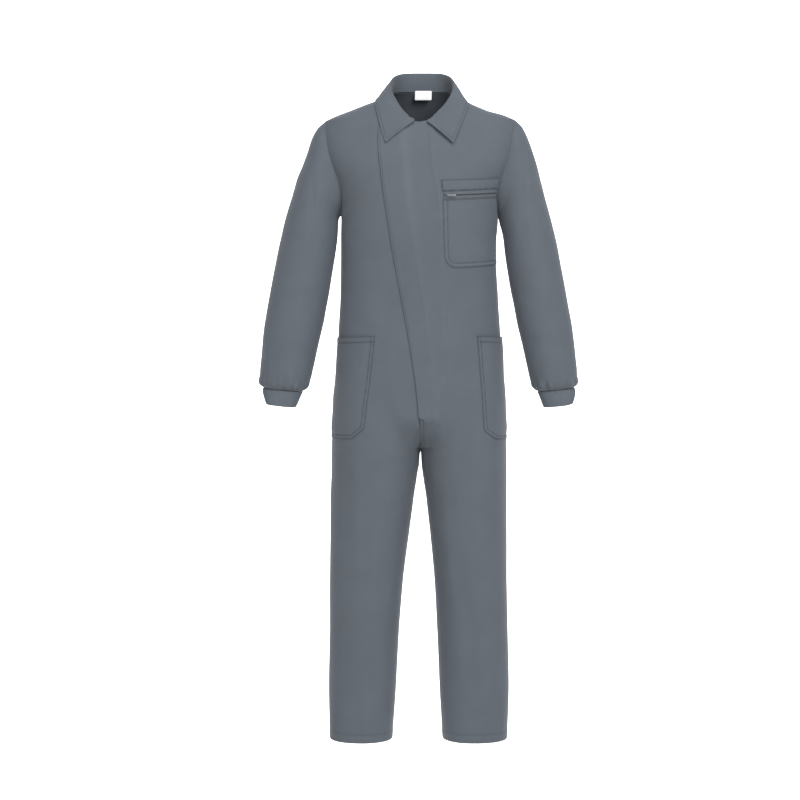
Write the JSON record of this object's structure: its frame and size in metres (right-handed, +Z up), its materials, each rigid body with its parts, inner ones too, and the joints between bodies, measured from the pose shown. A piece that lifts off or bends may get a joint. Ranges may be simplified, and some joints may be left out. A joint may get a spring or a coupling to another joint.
{
  "type": "boiler suit",
  "caption": "One-piece boiler suit in grey twill, worn shape: shirt collar, diagonal concealed front, zipped chest pocket, patch hip pockets, rib cuffs, plain hems.",
  "frame": {"origin": "between the neck points, on the level where the shoulder seams meet the collar, which is where the wearer's shoulders carry the suit", "axes": "+Z up the suit, -Y out of its front, +X to the wearer's left"},
  "size_m": [0.7421, 0.2675, 1.569],
  "materials": {
    "cloth_twill": "matt cotton-blend twill, mid blue-grey",
    "cloth_pocket": "the same twill",
    "rib_knit": "fine rib knit",
    "zip_tape": "woven zip tape with small teeth",
    "zip_metal": "plain nickel",
    "label_cloth": "bare white woven label"
  },
  "bodies": {
    "root": {"back_left": "cloth_twill", "back_right": "cloth_twill", "chest_band": "cloth_pocket", "chest_patch": "cloth_pocket", "chest_zip": "zip_tape", "collar": "cloth_twill", "cuff_left": "rib_knit", "cuff_right": "rib_knit", "front_left": "cloth_twill", "front_right": "cloth_twill", "front_zip": "zip_tape", "hip_pocket_left": "cloth_pocket", "hip_pocket_right": "cloth_pocket", "neck_label": "label_cloth", "sleeve_left": "cloth_twill", "sleeve_right": "cloth_twill", "zip_slider": "zip_metal"},
    "pull_tab": {"pull_tab": "zip_metal"}
  },
  "joints": [
    {"name": "pull_tab_hinge", "type": "hinge", "parent": "root", "child": "pull_tab", "pos_m": [0.06789, -0.12621, -0.226], "axis": [0.0661, -0.0842, -0.9943], "range_deg": [0, 160]}
  ]
}
